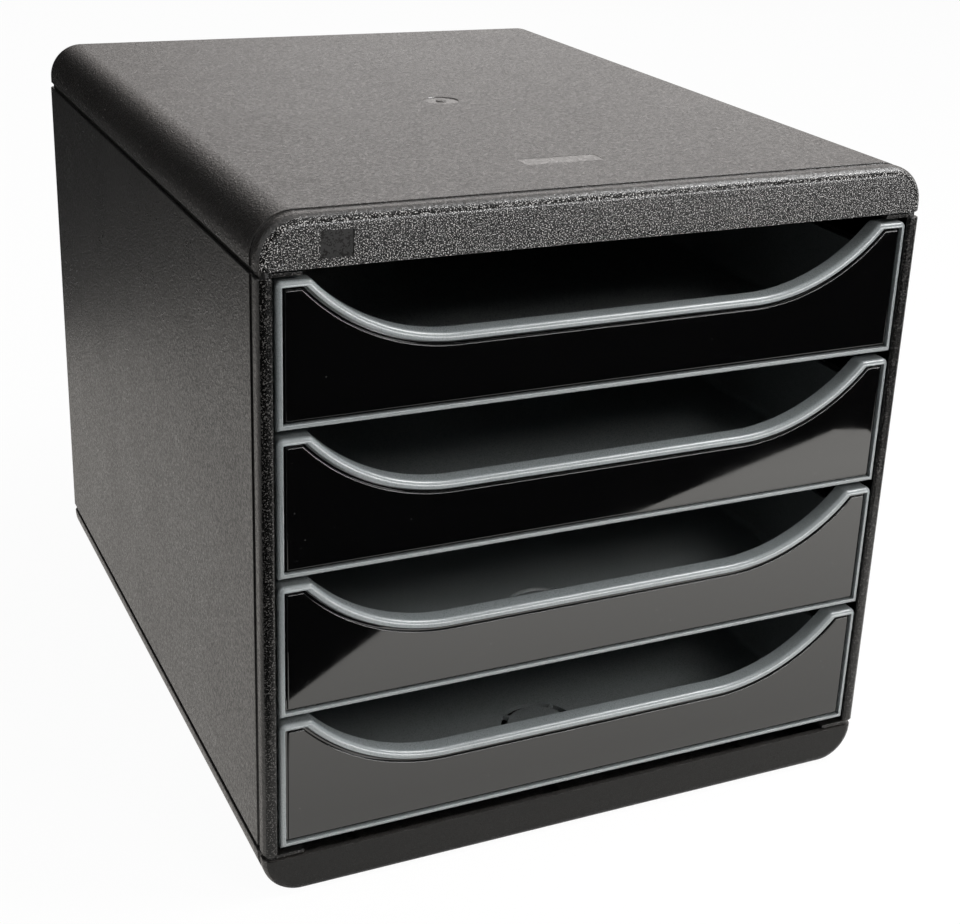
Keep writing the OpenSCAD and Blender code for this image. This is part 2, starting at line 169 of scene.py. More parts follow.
class CABINET_PG_drawer(bpy.types.PropertyGroup):
    half: length("Half width", "Half the width of a front", 0.1324)
    height: length("Height", "Height of a front", 0.0553)
    rim: length("Rim", "Width of the frame round a front", 0.0022)
    lip: length("Lip", "Height of the lip along the swoop", 0.00295)
    rim_round: length("Rim rounding", "Rounding of the frame's front edge", 0.0019)
    inner_round: length("Inner rounding", "Rounding of the frame's inner edge", 0.0002)
    depth: length("Frame depth", "Depth of frame and lip", 0.0074)
    shoulder: length("Shoulder", "Width of a shoulder beside the swoop", 0.013)
    shoulder_turn: length("Shoulder turn", "Radius between shoulder and swoop", 0.003)
    corner: length("Upper corner", "Radius of the upper corners", 0.0025)
    swoop_radius: length("Swoop radius", "Radius of the swoop's ends", 0.0765)
    swoop_depth: length("Swoop depth", "Depth of the swoop", 0.0253)
    insert_set: length("Insert set-back", "Depth of the insert's face", 0.0006)
    insert: length("Insert thickness", "Thickness of the insert", 0.002)
    insert_gap: length("Insert gap", "Gap between insert and frame", 0.0004)
    insert_lip_gap: length("Insert gap at the lip", "Gap between insert and lip", 0.0009)
    insert_step: length("Insert step", "Width of the step round the insert's face", 0.0008)
    insert_round: length("Insert rounding", "Rounding of the insert's face", 0.0005)
    inner_corner: length("Inner corners", "Least radius of a front's turns", 0.0003)
    backing: length("Backing", "Wall behind the insert", 0.002)
    tray_half: length("Tray half width", "Half the width of the tray", 0.1275)
    tray_depth: length("Tray depth", "Distance of the tray's rear from the front", 0.343)
    tray_wall: length("Tray wall", "Wall of the tray", 0.0018)
    tray_floor: length("Tray floor", "Thickness of the tray's floor", 0.002)
    tray_rise: length("Tray rise", "Height of the tray above a front's lower edge", 0.001)
    tray_height: length("Tray height", "Height of the tray", 0.04)
    tray_corner: length("Tray corner", "Radius of the tray's rear corners", 0.006)
    tray_fillet: length("Tray fillet", "Radius between floor and walls", 0.003)
    slide: length("Sliding flange", "Thickness of the sliding flange", 0.002)
    slide_width: length("Sliding flange width", "Width of the sliding flange", 0.0049)
    slide_rise: length("Sliding flange place", "Height of that flange above a front's lower edge", 0.038)
    slide_rear: length("Sliding flange end", "Distance of that flange's end from the front", 0.335)
    lug_place: length("Lug place", "Distance of the stop lug from the front", 0.2633)
    lug_length: length("Lug length", "Length of the stop lug", 0.01)
    lug_reach: length("Lug reach", "Distance of the lug's face from the middle", 0.1356)
    ring: length("Ring radius", "Radius of the ring in the floor", 0.0154)
    ring_slot: length("Ring slot", "Width of the ring's slots", 0.003)
    ring_bridge: length("Ring bridge", "Width of the disc's bridges", 0.002)
    ring_place: length("Ring place", "Distance of the ring from the front", 0.041)


class CABINET_PG_finish(bpy.types.PropertyGroup):
    shell: colour("Cover and base", "Colour of the black plastic", (0.009, 0.0086, 0.0082))
    shell_grain: length("Shell grain", "Size of the grain on cover and base", 0.0006)
    fascia_grain: length("Fascia grain", "Size of the grain on the front faces", 0.0005)
    # Grain tips: the fine grain's tips are painted paler, a painted glint where light catches them
    tips: colour("Grain tips", "Colour of the worn tips of the fine grain", (0.049, 0.0455, 0.0432))
    # Painted glints: bright tips of the fascia's coarse grain, where light catches it
    fascia_painted_glints: colour("Fascia tips", "Colour of the tips of the coarse grain", (0.36, 0.355, 0.35))
    # Painted glints on the base's front grain, painted darker than the cover's as painted shade
    base_shaded_painted_glints: colour("Base tips", "Colour of the coarse grain's tips below", (0.012, 0.0118, 0.0115))
    panel: colour("Side panels", "Colour of the side panels", (0.005, 0.0048, 0.0046))
    # Painted glints on the tips of the side panels' grain
    panel_painted_glints: colour("Panel tips", "Colour of the side panels' worn tips", (0.0165, 0.0157, 0.0149))
    # Painted glints on the grain of the panels' front bars
    bar_painted_glints: colour("Bar tips", "Colour of the grain's tips on the bars", (0.06, 0.058, 0.056))
    pale: colour("Pale places", "Colour of the bare places on the top", (0.05, 0.047, 0.045))
    panel_grain: length("Panel grain", "Size of the grain on the side panels", 0.0006)
    tray: colour("Trays", "Colour of the blue-grey trays", (0.17, 0.188, 0.193))
    insert: colour("Inserts", "Colour of the gloss inserts", (0.0014, 0.0014, 0.0015))
    rubber: colour("Feet", "Colour of the rubber feet", (0.03, 0.03, 0.03))


class CABINET_PG_stage(bpy.types.PropertyGroup):
    lens: number("Lens", "Focal length of the camera", 63.27, 20.0, subtype="DISTANCE_CAMERA")
    shift: number("Shift", "Upward shift of the picture", -0.0604, -0.5, max=0.5)
    top_power: power("Top lamp", "Power of the lamp above", 26.0)
    rear_power: power("Rear lamp", "Power of the lamp behind", 3.2)
    front_power: power("Front lamp", "Power of the low lamp that shows in the gloss", 22.5)
    low_power: power("Low front lamp", "Power of the low lamp that shows in no gloss", 9.0)
    high_power: power("High front lamp", "Power of the higher lamp in front", 12.0)
    fill_power: power("Fill lamp", "Power of the lamp on the left", 1.2)
    ambient: number("Room light", "Level of the even light of the room", 0.2)


# Flat outlines

def unit(v):
    """Vectors divided by their lengths."""
    return v / np.maximum(np.linalg.norm(v, axis=-1, keepdims=True), 1e-12)


def left_of(v):
    """Flat vectors turned a quarter to the left: (x, y) becomes (-y, x)."""
    return np.stack([-v[..., 1], v[..., 0]], -1)


def distinct(points):
    """A closed outline without points that repeat the one before."""
    return points[np.linalg.norm(points - np.roll(points, 1, 0), axis=1) > 1e-7]


def rounded(corners, radii, steps=8):
    """Closed outline whose corners are arcs: an arc starts radius times the tangent of half
    the turn before its corner, and its arm turns evenly from one edge to the next."""
    p = np.asarray(corners, float)
    r = np.broadcast_to(np.asarray(radii, float), (len(p),))[:, None]
    before = unit(p - np.roll(p, 1, 0))
    after = unit(np.roll(p, -1, 0) - p)
    turn = np.arctan2(
        before[:, 0] * after[:, 1] - before[:, 1] * after[:, 0], (before * after).sum(1)
    )[:, None]
    start = p - before * r * np.tan(np.abs(turn) / 2)
    arm = -left_of(before) * r * np.sign(turn)
    angle = turn * np.linspace(0, 1, steps + 1)
    across = arm[:, None] * np.cos(angle)[..., None]
    along = left_of(arm)[:, None] * np.sin(angle)[..., None]
    return distinct(((start - arm)[:, None] + (across + along)).reshape(-1, 2))


def rounded_at(corners, steps):
    """The same for corners that each bring their own radius."""
    corners = np.asarray(corners)
    return rounded(corners[:, :2], corners[:, 2], steps)


def shifted(points, depths, closed=True):
    """An outline moved to its left by each depth: a point moves along the sum of its two
    edges' normals over one plus their product, so both edges move by the depth. Depths may
    also be one row for each point."""
    before = unit(points - np.roll(points, 1, 0))
    after = unit(np.roll(points, -1, 0) - points)
    if not closed:
        before[0], after[-1] = after[0], before[-1]
    m, n = left_of(before), left_of(after)
    way = (m + n) / (1 + (m * n).sum(1, keepdims=True))
    depths = np.asarray(depths, float)
    depths = depths[:, None] if depths.ndim == 1 else depths
    return points[None] + way[None] * depths[..., None]


def quarter(radius, steps):
    """A quarter circle as two rows of distances: radius times (1 - sin a), which falls to
    nought, and radius times (1 - cos a), which grows from it."""
    a = np.linspace(0, math.pi / 2, steps + 1)
    return radius * (1 - np.sin(a)), radius * (1 - np.cos(a))


def rectangle(x0, x1, y0, y1):
    """Four corners, counter-clockwise."""
    return np.array([(x0, y0), (x1, y0), (x1, y1), (x0, y1)])


def circle(x, y, r, count):
    """Points evenly round a circle."""
    a = np.arange(count) * 2 * math.pi / count
    return np.stack([x + r * np.cos(a), y + r * np.sin(a)], 1)


# Shells: points (n, 3) and faces

def on_axis(flat, height, axis):
    """Flat points lifted along an axis: (x, y) along Z, or (x, z) along Y."""
    height = np.broadcast_to(height, flat.shape[:-1])
    a, b = flat[..., 0], flat[..., 1]
    return np.stack((a, height, b) if axis == "Y" else (a, b, height), -1)


def skin(rings, joined=False):
    """Quads between neighbouring rings of points, and a cap on the first and last ring, or
    where joined is true more quads from the last ring to the first."""
    rows, columns = rings.shape[:2]
    ids = np.arange(rows * columns).reshape(rows, columns)
    lower = ids if joined else ids[:-1]
    upper = np.roll(ids, -1, 0) if joined else ids[1:]
    quads = np.stack([lower, np.roll(lower, -1, 1), np.roll(upper, -1, 1), upper], -1)
    faces = quads.reshape(-1, 4).tolist()
    if not joined:
        faces += [ids[0, ::-1].tolist(), ids[-1].tolist()]
    return rings.reshape(-1, 3), faces


def prism(outline, low, high, edge, axis="Z", steps=3):
    """An outline drawn out from low to high, both ends rounded by a quarter circle: the ring
    at angle a is set in by edge times (1 - sin a) and lifted by edge times (1 - cos a)."""
    inset, lift = quarter(edge, steps)
    flat = shifted(distinct(outline), np.concatenate([inset, inset[::-1]]))
    height = np.concatenate([low + lift, high - lift[::-1]])[:, None]
    return skin(on_axis(flat, height, axis))


def block(x0, x1, y0, y1, z0, z1, edge):
    """A cuboid with all its edges rounded by the same radius."""
    return prism(rounded(rectangle(x0, x1, y0, y1), edge, 3), z0, z1, edge)


def turned(profile, x, y, count=64, joined=False):
    """A profile of (radius, height) turned about an upright axis at x, y: each of its points
    gives a circle. Where joined is true the profile is closed."""
    profile = np.asarray(profile, float)
    flat = np.stack([circle(x, y, r, count) for r in profile[:, 0]])
    return skin(on_axis(flat, profile[:, 1:], "Z"), joined)


def thick_plate(flat, faces, low, high):
    """A flat mesh given a thickness: its faces above, the same faces turned round below, and
    a wall on each edge that only one face has."""
    count = len(flat)
    above = np.column_stack([flat, np.full(count, high)])
    below = np.column_stack([flat, np.full(count, low)])
    edges = np.concatenate([np.column_stack([f, np.roll(f, -1)]) for f in faces])
    key = edges[:, 0] * count + edges[:, 1]
    lone = edges[~np.isin(key, edges[:, 1] * count + edges[:, 0])]
    walls = np.column_stack([lone[:, 1], lone[:, 0], lone[:, 0] + count, lone[:, 1] + count])
    every = [list(f) for f in faces] + [[i + count for i in f[::-1]] for f in faces]
    return np.concatenate([above, below]), every + walls.tolist()


def mirrored(shell):
    """A shell on the other side of the middle plane, X turned to minus X."""
    points, faces = shell
    return points * (-1, 1, 1), [f[::-1] for f in faces]


def moved(shell, z):
    """A shell brought to the front's plane and to a height."""
    return shell[0] + (0, FRONT_Y, z), shell[1]


def smooth_up_to_sharp(mesh):
    """Smooth shading on all faces, and a break at the edges past the sharp angle."""
    mesh.polygons.foreach_set("use_smooth", np.ones(len(mesh.polygons), bool))
    mesh.set_sharp_from_angle(angle=math.radians(SHARP))


def make_piece(name, shells, material):
    """One object from several closed shells, its faces turned outwards and smooth up to the
    sharp angle."""
    starts = np.cumsum([0] + [len(s[0]) for s in shells])
    faces = [[i + int(k) for i in f] for s, k in zip(shells, starts) for f in s[1]]
    mesh = bpy.data.meshes.new(name)
    mesh.from_pydata(np.concatenate([s[0] for s in shells]).tolist(), [], faces)
    work = bmesh.new()
    work.from_mesh(mesh)
    bmesh.ops.recalc_face_normals(work, faces=work.faces)
    work.to_mesh(mesh)
    work.free()
    smooth_up_to_sharp(mesh)
    mesh.materials.append(material)
    piece = bpy.data.objects.new(name, mesh)
    bpy.context.scene.collection.objects.link(piece)
    return piece


def carve(piece, shells, material=None):
    """Takes closed shells away from a piece, and keeps the result in its mesh. The new faces
    may have a material of their own."""
    cutter = make_piece("cutter", shells, material or piece.data.materials[0])
    cut = piece.modifiers.new("cut", "BOOLEAN")
    cut.operation = "DIFFERENCE"
    cut.solver = "EXACT"
    cut.material_mode = "TRANSFER"
    cut.object = cutter
    bpy.context.view_layer.update()
    graph = bpy.context.evaluated_depsgraph_get()
    done = bpy.data.meshes.new_from_object(piece.evaluated_get(graph))
    piece.modifiers.clear()
    old, piece.data = piece.data, done
    done.name = piece.name
    bpy.data.objects.remove(cutter)
    bpy.data.meshes.remove(old)
    done.set_sharp_from_angle(angle=math.radians(SHARP))


def face_forward(piece, material):
    """Gives the faces that lie at the very front a finish of their own."""
    mesh = piece.data
    centre = np.empty(len(mesh.polygons) * 3)
    mesh.polygons.foreach_get("center", centre)
    mesh.materials.append(material)
    at_front = centre.reshape(-1, 3)[:, 1] < FRONT_Y + FRONT_LAYER
    index = at_front.astype(np.int32) * (len(mesh.materials) - 1)
    mesh.polygons.foreach_set("material_index", index)


def hand_over(piece, node):
    """The piece gets normals that follow its larger faces, so flats stay flat beside their
    roundings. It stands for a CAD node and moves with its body."""
    piece.modifiers.new("soft_shading", "WEIGHTED_NORMAL").keep_sharp = True
    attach(piece, frame["nodes"][node]["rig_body"])
    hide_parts(node)


# Finishes

class Nodes:
    """A tree of nodes and short ways to add and join them."""

    def __init__(self, tree):
        self.tree = tree

    def add(self, kind, **settings):
        """A node with some of its settings or input values set."""
        node = self.tree.nodes.new(kind)
        for key, value in settings.items():
            if key in node.inputs:
                node.inputs[key].default_value = value
            else:
                setattr(node, key, value)
        return node

    def join(self, source, target):
        """A link, or a plain value where the source is a number."""
        if isinstance(source, (int, float)):
            target.default_value = source
        else:
            self.tree.links.new(source, target)

    def spread(self, source, low, high, to_low, to_high):
        """A value stretched from one span to another, and held at its ends."""
        node = self.add("ShaderNodeMapRange")
        for socket, value in zip(node.inputs, (source, low, high, to_low, to_high)):
            self.join(value, socket)
        return node.outputs["Result"]

    def math(self, operation, a, b):
        """Two values, or a value and a number, added, multiplied or the like."""
        node = self.add("ShaderNodeMath", operation=operation)
        self.join(a, node.inputs[0])
        self.join(b, node.inputs[1])
        return node.outputs["Value"]

    def layered(self, share, first, second):
        """Two shaders mixed by a share of the second."""
        node = self.add("ShaderNodeMixShader")
        for socket, source in zip(node.inputs, (share, first, second)):
            self.join(source, socket)
        return node.outputs["Shader"]


class Finish(Nodes):
    """The nodes of a material, on Object coordinates."""

    def __init__(self, name):
        self.material = bpy.data.materials.new(name)
        self.material.use_nodes = True
        super().__init__(self.material.node_tree)
        self.shader = self.tree.nodes["Principled BSDF"]
        self.surface = self.tree.nodes["Material Output"].inputs["Surface"]
        self.place = self.add("ShaderNodeTexCoord").outputs["Object"]

    def put(self, key, value):
        """An input of the shader, from a number or another node."""
        self.join(value, self.shader.inputs[key])

    def noise(self, size, detail=2.0, roughness=0.5):
        """Noise whose lumps are about one size across, in metres."""
        node = self.add("ShaderNodeTexNoise", Scale=1.0 / size, Detail=detail, Roughness=roughness)
        self.join(self.place, node.inputs["Vector"])
        return node.outputs["Fac"]

    def between(self, share, first, second):
        """A colour between two, each given as numbers or as another node's result."""
        node = self.add("ShaderNodeMix", data_type="RGBA")
        self.join(share, node.inputs["Factor"])
        colours = [socket for socket in node.inputs if socket.type == "RGBA"]
        for socket, value in zip(colours, (first, second)):
            if isinstance(value, bpy.types.NodeSocket):
                self.join(value, socket)
            else:
                socket.default_value = (*value, 1.0)
        return next(socket for socket in node.outputs if socket.type == "RGBA")

    def bump(self, height, depth):
        """The surface's normal, tilted by a height of so many metres."""
        node = self.add("ShaderNodeBump", Strength=1.0, Distance=depth)
        self.join(height, node.inputs["Height"])
        self.join(node.outputs["Normal"], self.shader.inputs["Normal"])


def scaled(rgb, factor):
    """A colour made lighter or darker."""
    return tuple(min(c * factor, 1.0) for c in rgb)


def grained_plastic(name, rgb, tips, grain, depth, roughness, gloss=0.5):
    """Black moulded plastic: two sizes of grain as a bump, smoother towards its tips and
    painted paler there as a painted glint, and a slow change of gloss. Grain and depth in metres."""
    f = Finish(name)
    lumps = f.math("MULTIPLY", f.math("ADD", f.noise(grain, 1.0), f.noise(grain * 2.3, 1.0)), 0.5)
    # the tips colour paints a glint onto the grain's raised lumps
    f.put("Base Color", f.between(f.spread(lumps, 0.42, 0.66, 0.0, 1.0), rgb, tips))
    worn = f.spread(f.noise(0.05, 4.0), 0.3, 0.7, -0.02, 0.02)
    polish = f.spread(lumps, 0.4, 0.6, roughness + 0.1, roughness - 0.1)
    f.put("Roughness", f.math("ADD", polish, worn))
    f.put("Specular IOR Level", gloss)
    f.bump(lumps, depth)
    return f.material


def fascia_plastic(name, rgb, tips, grain, gloss):
    """Black moulded plastic of the front faces: glossier, with a sharper grain, painted shade in
    its low parts and painted glints on its tips."""
    f = Finish(name)
    coarse = f.noise(grain, 1.5, 0.6)
    # painted shade darkens the grain's low parts, and the tips colour is a painted glint
    painted_shade_colour = scaled(rgb, 0.3)
    f.put("Base Color", f.between(f.spread(coarse, 0.56, 0.61, 0.0, 1.0), painted_shade_colour, tips))
    f.put("Roughness", f.spread(coarse, 0.35, 0.65, 0.31, 0.17))
    f.put("Specular IOR Level", gloss)
    f.bump(coarse, 0.00007)
    return f.material


def satin_plastic(name, rgb):
    """Blue-grey tray plastic, satin, with a very fine grain and faint clouds."""
    f = Finish(name)
    fine = f.noise(0.0004)
    clouds = f.spread(f.noise(0.03, 3.0), 0.3, 0.7, 0.0, 1.0)
    f.put("Base Color", f.between(clouds, scaled(rgb, 0.94), scaled(rgb, 1.06)))
    f.put("Specular IOR Level", 0.7)
    f.put("Roughness", f.spread(fine, 0.3, 0.7, 0.24, 0.34))
    f.bump(fine, 0.00002)
    return f.material


def gloss_plastic(name, rgb):
    """Polished black insert: a few specks of dust and faint wiping marks in its gloss."""
    f = Finish(name)
    dust = f.spread(f.noise(0.0008, 0.0), 0.85, 0.88, 0.0, 1.0)
    f.put("Base Color", f.between(dust, rgb, (0.07, 0.07, 0.067)))
    f.put("Roughness", f.spread(f.noise(0.02, 5.0, 0.65), 0.35, 0.8, 0.02, 0.06))
    f.put("IOR", 1.55)
    f.bump(f.noise(0.05, 1.0), 0.00004)
    return f.material


def rubber(name, rgb):
    """Matt rubber with a fine bump."""
    f = Finish(name)
    fine = f.noise(0.0005, 3.0)
    f.put("Base Color", f.between(fine, scaled(rgb, 0.7), scaled(rgb, 1.3)))
    f.put("Roughness", 0.85)
    f.bump(fine, 0.00006)
    return f.material


# Cover and base

def shell_section(height, corner, lower_edge, inset):
    """Upright section of a shell, set in by inset: up the left side, a quarter turn, across
    the top, a quarter turn and down the right side. Its lowest points turn in by lower_edge."""
    a = np.linspace(0, math.pi / 2, 25)
    r = corner - inset
    inwards, lift = quarter(lower_edge, 3)
    low = np.stack([HALF_W - inset - inwards, lift], 1)
    arc = np.stack([HALF_W - corner + r * np.cos(a), height - corner + r * np.sin(a)], 1)
    half = np.concatenate([low, arc])
    return np.concatenate([half * (-1, 1), half[::-1]])


def shell_run(s):
    """Distances along the shell and their insets: a quarter circle at each end, and the
    groove behind the front one."""
    falls, grows = quarter(s.end, 8)
    turn = np.stack([grows, falls], 1)
    falls, grows = quarter(s.groove_edge, 3)
    upper = np.stack([-falls, grows], 1)
    into = np.concatenate([upper, np.stack([grows, s.groove_depth - falls], 1)])
    start, stop = s.groove_from_front, s.groove_from_front + s.groove_width
    groove = np.concatenate([into + (start, 0), (into * (-1, 1))[::-1] + (stop, 0)])
    depth = REAR_Y - FRONT_Y
    return np.concatenate([turn, groove, (turn * (-1, 1))[::-1] + (depth, 0)])


def shell_body(s, height):
    """Outer skin, inner skin and the rim between them, open below, as one closed shell."""
    run = shell_run(s)
    sections = [(y, shell_section(height, s.corner, s.lower_edge, inset)) for y, inset in run]
    outer = np.stack([on_axis(section, FRONT_Y + y, "Y") for y, section in sections])
    section = shell_section(height, s.corner, 0.0, s.wall)
    inner = np.stack([on_axis(section, y, "Y") for y in (FRONT_Y + s.wall, REAR_Y - s.wall)])
    rows, columns = outer.shape[:2]
    ids = np.arange(rows * columns).reshape(rows, columns)
    inn = rows * columns + np.arange(2 * columns).reshape(2, columns)
    faces = []
    for grid in (ids, inn):
        quads = np.stack([grid[:-1, :-1], grid[:-1, 1:], grid[1:, 1:], grid[1:, :-1]], -1)
        faces += [*quads.reshape(-1, 4).tolist(), grid[0].tolist(), grid[-1].tolist()]
    for side in (0, -1):
        faces.append([*ids[:, side].tolist(), int(inn[1, side]), int(inn[0, side])])
    for end in (0, -1):
        faces.append([int(i) for i in (ids[end, 0], ids[end, -1], inn[end, -1], inn[end, 0])])
    return np.concatenate([outer.reshape(-1, 3), inner.reshape(-1, 3)]), faces


def shell_ribs(s, height):
    """Low ribs under the skin: three front to rear, four across, and the back panel's sill."""
    depth = REAR_Y - FRONT_Y
    low = height - s.wall - s.rib_height
    high = height - s.wall + 0.0004  # a little inside the skin
    edge = 0.0002
    half = HALF_W - s.wall - s.rib_from_side
    thick = s.rib / 2
    ribs = []
    for k in range(3):
        x = 2 * HALF_W * ((k + 0.5) / 3 - 0.5)
        front, rear = FRONT_Y + s.wall, REAR_Y - s.wall
        ribs.append(block(x - thick, x + thick, front, rear, low, high, edge))
    across = [(FRONT_Y + depth * (k + 0.5) / 4, low) for k in range(4)]
    across.append(((BACK[0].y + BACK[1].y) / 2, s.sill))
    for y, foot in across:
        ribs.append(block(-half, half, y - thick, y + thick, foot, high, edge))
    return ribs


def cover_marks(s, height):
    """What the round gate recess, the name place and the fascia's place take away. A low
    boss is left in the middle of the gate."""
    low = height - s.mark_depth
    over = height + OVER
    r = s.gate / 2
    boss = 0.0022  # its radius
    ring = [
        (boss, over), (boss, low + 0.0002), (boss + 0.0002, low),
        (r - 0.0003, low), (r, height), (r, over),
    ]
    gate = turned(ring, 0.0, -s.gate_offset, 96, joined=True)
    y = FRONT_Y + s.plate_from_front
    half_l, half_w = s.plate_length / 2, s.plate_width / 2
    plate = rounded(rectangle(-half_l, half_l, y - half_w, y + half_w), 0.0008, 5)
    x = -HALF_W + s.tag_from_side
    tag = rectangle(x, x + s.tag_length, s.tag_above, s.tag_above + s.tag_height)
    return [
        gate,
        prism(plate, height - s.plate_depth, over, 0.0),
        prism(rounded(tag, 0.0004, 4), FRONT_Y - OVER, FRONT_Y + s.mark_depth, 0.0, "Y"),
    ]


def foot_place(node):
    """Middle and radius of a foot, and the heights of its tread and its seat, from its box."""
    low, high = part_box(node)
    return (low.x + high.x) / 2, (low.y + high.y) / 2, (high.x - low.x) / 2, low.z, high.z


def small_bevel(piece):
    """A narrow rounding on the edges that are still sharp."""
    bevel = piece.modifiers.new("edges", "BEVEL")
    bevel.width = 0.00015
    bevel.segments = 2
    bevel.limit_method = "ANGLE"
    bevel.angle_limit = math.radians(50)


class CABINET_OT_shells(bpy.types.Operator):
    """Builds the cover and the base"""

    bl_idname = "cabinet.shells"
    bl_label = "Cover and base"

    def execute(self, context):
        s = context.scene.cabinet_shell
        finish = context.scene.cabinet_finish
        black, grain, coarse = finish.shell, finish.shell_grain, finish.fascia_grain

        height = COVER[1].z - COVER[0].z
        body = grained_plastic(
            "black_shell_plastic", black, finish.tips, grain, depth=0.0005, roughness=0.36
        )
        # the fascia's grain carries painted shade and painted glints
        front = fascia_plastic("black_fascia_plastic", black, finish.fascia_painted_glints, coarse, gloss=0.28)
        pale = grained_plastic(
            "pale_bare_place", finish.pale, finish.pale, grain, 0.00003, 0.33, gloss=0.55
        )
        bare = grained_plastic("black_bare_place", black, black, grain, 0.00002, 0.3, gloss=0.25)
        cover = make_piece("cover_shell", [shell_body(s, height)], body)
        face_forward(cover, front)
        gate, plate, tag = cover_marks(s, height)
        carve(cover, [gate, plate], pale)
        carve(cover, [tag], bare)
        self.complete(cover, shell_ribs(s, height), COVER[0].z, 1)
        hand_over(cover, "top_cover")

        height = BASE[1].z - BASE[0].z
        body = grained_plastic(
            "black_base_plastic", black, finish.tips, grain, depth=0.0005, roughness=0.38
        )
        # the base front's grain carries painted shade and dimmed painted glints
        front = fascia_plastic(
            "black_base_front_plastic", black, finish.base_shaded_painted_glints, coarse, gloss=0.17
        )
        base = make_piece("base_shell", [shell_body(s, height)], body)
        face_forward(base, front)
        cups = []
        for x, y, _, _, seat in map(foot_place, FEET):
            # the box follows the facets of the foot, and rounding gives its true middle
            outline = circle(round(x, 5), round(y, 5), s.foot_cup, 64)
            cups.append(prism(outline, height - (seat - BASE[0].z), height + OVER, 0.0))
        carve(base, cups)
        self.complete(base, shell_ribs(s, height), BASE[1].z, -1)
        hand_over(base, "base")
        return {"FINISHED"}

    def complete(self, piece, ribs, rise, up):
        """Adds the ribs, lifts the mesh to its height, turned over where up is -1, and rounds
        its edges."""
        extra = make_piece("ribs", ribs, piece.data.materials[0])
        work = bmesh.new()
        work.from_mesh(piece.data)
        work.from_mesh(extra.data)
        if up < 0:
            bmesh.ops.reverse_faces(work, faces=work.faces)
        work.to_mesh(piece.data)
        work.free()
        old = extra.data
        bpy.data.objects.remove(extra)
        bpy.data.meshes.remove(old)
        co = np.empty(len(piece.data.vertices) * 3)
        piece.data.vertices.foreach_get("co", co)
        co = co.reshape(-1, 3) * (1, 1, up) + (0, 0, rise)
        piece.data.vertices.foreach_set("co", co.ravel())
        smooth_up_to_sharp(piece.data)
        piece.data.update()
        small_bevel(piece)


# Side panels

def roll_outline(p):
    """Plan of the right panel: the rolled front edge with its outer groove, and the wall."""
    bar = HALF_W - p.roll_width
    inner = HALF_W - p.wall
    wall_y = FRONT_Y + p.roll_depth
    shell = bpy.context.scene.cabinet_shell
    start = FRONT_Y + shell.groove_from_front
    stop = start + shell.groove_width
    dip = HALF_W - shell.groove_depth
    lip, tight = shell.groove_edge, 0.0002
    corners = [
        (bar, FRONT_Y, p.roll_inner), (HALF_W, FRONT_Y, p.roll_outer),
        (HALF_W, start, lip), (dip, start, tight), (dip, stop, tight), (HALF_W, stop, lip),
        (HALF_W, REAR_Y, 0.0022), (inner, REAR_Y, tight), (inner, wall_y, tight), (bar, wall_y, 0.0004),
    ]
    return rounded_at(corners, 6)


def side_shells(p):
    """Shells of the right panel: outer skin between the shadow gaps, the narrower core that
    reaches cover and base, guide ribs, flanges, hooks and the runners of four trays."""
    low, high = BASE[1].z, COVER[0].z
    bar = HALF_W - p.roll_width
    inner = HALF_W - p.wall
    front, wall_y = FRONT_Y + p.flange_back, FRONT_Y + p.roll_depth
    seat = inner + SINK
    e = p.small_edge
    gap, d = p.shadow_height, p.shadow_depth
    shells = [prism(roll_outline(p), low + gap, high - gap, p.edge, "Z", 4)]
    core = [
        (bar, FRONT_Y + d, e), (HALF_W - d, FRONT_Y + d, 0.002), (HALF_W - d, REAR_Y - d, 0.0008),
        (inner, REAR_Y - d, e), (inner, wall_y, e), (bar, wall_y, 0.0004),
    ]
    shells.append(prism(rounded_at(core, 5), low, high, 0.0001))
    guide_gap = 0.0003
    guide_front = BACK[0].y - guide_gap - p.guide
    for y in (guide_front, BACK[1].y + guide_gap):
        shells.append(block(inner - p.guide_width, seat, y, y + p.guide, low, high, e))
    rear = guide_front + SINK
    reach = bar - p.flange_width
    root = bar + 0.001
    flange = [(reach, front), (root, front), (root, wall_y), (seat, wall_y), (seat, rear), (reach, rear)]
    for z in (low + p.flange_gap, high - p.flange_gap - p.flange):
        shells.append(prism(rounded(flange, e, 3), z, z + p.flange, e))
    shells += hook_shells(p, low, -1) + hook_shells(p, high, 1)
    start = FRONT_Y + p.runner_set
    for floor in (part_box(node)[0].z for node in DRAWERS):
        for z in (floor + p.runner_low, floor + p.runner_high):
            shells.append(block(p.runner_inner, seat, start, rear, z, z + p.runner, e))
    return shells


def hook_shells(p, edge_z, up):
    """Three snap hooks on a flange, their barbs pointing outwards."""
    x = HALF_W - p.wall - 0.0018
    depth = REAR_Y - FRONT_Y
    # stem and barb, across and up from the hook's place on the panel's edge
    section = np.array([
        (-0.0015, -0.0007), (0, -0.0007), (0, 0.0024), (0.0009, 0.0024), (0, 0.0043), (-0.0015, 0.0043),
    ])
    flat = rounded(section * (1, up) + (x, edge_z), 0.0001, 2)[::up]
    middles = FRONT_Y + depth * (np.arange(3) + 0.5) / 3
    half = p.hook_length / 2
    return [prism(flat, y - half, y + half, 0.0001, "Y", 2) for y in middles]


